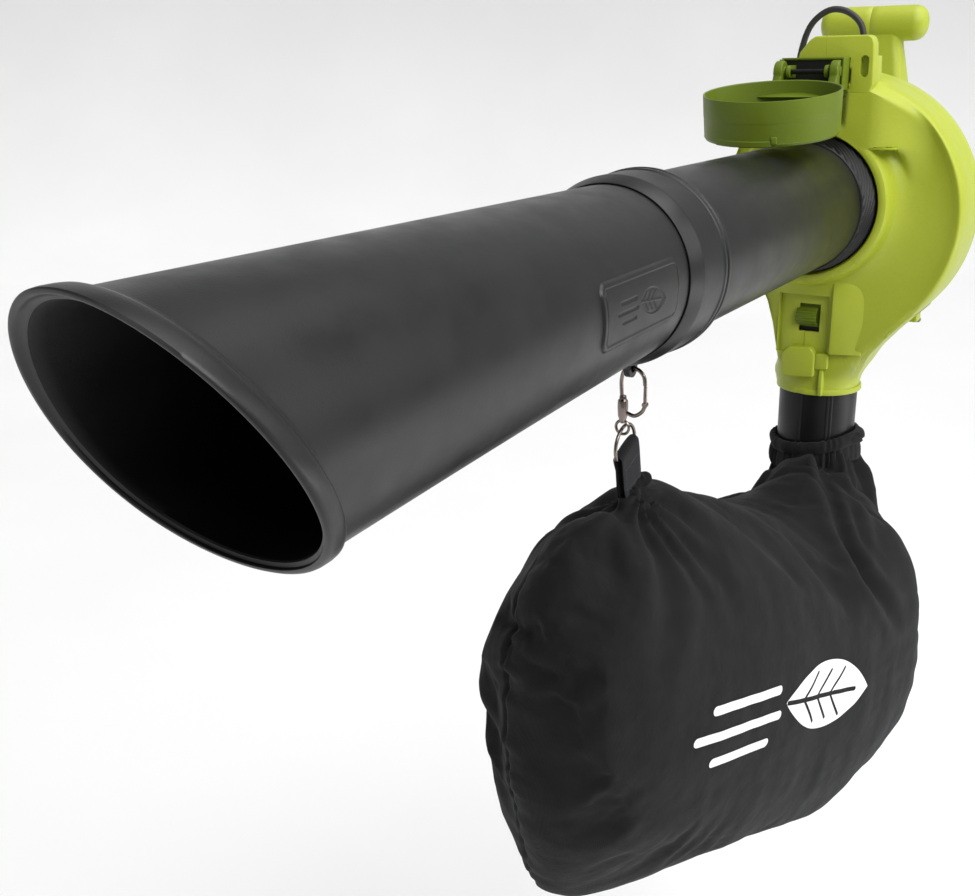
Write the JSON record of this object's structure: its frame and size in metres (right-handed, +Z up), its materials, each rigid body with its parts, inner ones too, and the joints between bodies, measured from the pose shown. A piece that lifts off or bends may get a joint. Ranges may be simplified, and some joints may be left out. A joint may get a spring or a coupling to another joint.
{
  "type": "leaf vacuum mulcher",
  "caption": "Handheld electric leaf vacuum mulcher: long flared suction tube, scroll blower housing with mulching impeller, hinged intake cover, T grip, rear handle and hanging collecting bag.",
  "frame": {"origin": "centre of the bar of the front T grip, where a hand holds the machine up", "axes": "+X runs along the suction tube from its mouth to the motor, +Z is up, +Y is the machine's left side seen from behind the motor looking at the mouth; the pictured side faces -Y"},
  "size_m": [1.3454, 0.3121, 0.9182],
  "materials": {
    "lime_housing": "moulded lime green plastic, satin",
    "dark_green_plastic": "moulded dark green plastic, satin",
    "black_tube_plastic": "satin black plastic",
    "black_fabric": "matt plain weave",
    "dark_nickel": "dark nickel plate",
    "steel": "plain",
    "cast_alloy": "as cast",
    "copper": "wound copper",
    "black_rubber": "matt",
    "grey_plastic": "plain"
  },
  "bodies": {
    "machine": {"volute_front_shell": "lime_housing", "volute_rear_shell": "lime_housing", "latch_panel": "lime_housing", "hinge_tower": "lime_housing", "motor_housing": "lime_housing", "motor_rear_cap": "lime_housing", "front_grip_left": "lime_housing", "front_grip_right": "lime_housing", "main_handle_left": "lime_housing", "main_handle_right": "lime_housing", "cord_gland": "lime_housing", "lower_tube": "black_tube_plastic", "upper_tube": "black_tube_plastic", "tube_coupling": "black_tube_plastic", "strap_eye": "black_tube_plastic", "intake_flange": "black_tube_plastic", "outlet_adapter": "black_tube_plastic", "bag": "black_fabric", "bag_sleeve": "black_fabric", "webbing_tab": "black_fabric", "hinge_pin": "steel", "latch_spring": "steel", "trigger_spring": "steel", "front_bearing": "steel", "rear_bearing": "steel", "stator": "steel", "volute_screw_1": "steel", "volute_screw_2": "steel", "volute_screw_3": "steel", "handle_screw_1": "steel", "handle_screw_2": "steel", "handle_screw_3": "steel", "plug_blade_left": "steel", "plug_blade_right": "steel", "brush_left": "copper", "brush_right": "copper", "power_cord": "black_rubber", "plug_body": "black_rubber", "strain_relief": "black_rubber", "interlock_switch": "grey_plastic", "switch_module": "grey_plastic"},
    "cover": {"intake_cover": "dark_green_plastic"},
    "latch": {"latch_slider": "dark_green_plastic"},
    "rotor": {"impeller": "cast_alloy", "impeller_nut": "steel", "motor_shaft": "steel", "armature": "copper", "commutator": "copper"},
    "trigger": {"trigger": "black_tube_plastic"},
    "lock_button": {"lock_button": "black_tube_plastic"},
    "dial": {"speed_dial": "black_tube_plastic"},
    "hook": {"snap_hook": "dark_nickel"},
    "gate": {"hook_gate": "dark_nickel"},
    "ring": {"d_ring": "dark_nickel"}
  },
  "joints": [
    {"name": "cover_open", "type": "hinge", "parent": "machine", "child": "cover", "pos_m": [-0.236, 0, -0.048], "axis": [0, 1, 0], "range_deg": [0, 30]},
    {"name": "latch_slide", "type": "slide", "parent": "machine", "child": "latch", "axis": [0, 0, -1], "range_m": [0, 0.006], "stiffness_N_per_m": 300, "springref_m": -0.004, "deforming": ["latch_spring"]},
    {"name": "rotor_spin", "type": "hinge", "parent": "machine", "child": "rotor", "pos_m": [-0.15, 0, -0.182], "axis": [1, 0, 0], "continuous": true},
    {"name": "trigger_squeeze", "type": "hinge", "parent": "machine", "child": "trigger", "pos_m": [0.151, 0, -0.134], "axis": [0, -1, 0], "range_deg": [0, 7], "stiffness_Nm_per_rad": 0.6, "springref_deg": -8.59, "deforming": ["trigger_spring"]},
    {"name": "lock_button_press", "type": "slide", "parent": "machine", "child": "lock_button", "axis": [0, -1, 0], "range_m": [0, 0.0025], "stiffness_N_per_m": 250, "springref_m": -0.003},
    {"name": "dial_turn", "type": "hinge", "parent": "machine", "child": "dial", "pos_m": [0.09, 0, -0.0987], "axis": [0, 0, 1], "range_deg": [0, 270]},
    {"name": "hook_swing", "type": "hinge", "parent": "machine", "child": "hook", "pos_m": [-0.64, 0, -0.2625], "axis": [0, 1, 0], "range_deg": [-2, 2]},
    {"name": "gate_open", "type": "hinge", "parent": "hook", "child": "gate", "pos_m": [-0.64, -0.0133, -0.2911], "axis": [-1, 0, 0], "range_deg": [0, 25], "stiffness_Nm_per_rad": 0.01, "springref_deg": -5.73},
    {"name": "ring_swing", "type": "hinge", "parent": "machine", "child": "ring", "pos_m": [-0.64, 0.006, -0.335], "axis": [1, 0, 0], "range_deg": [-2.5, 2.5]}
  ]
}
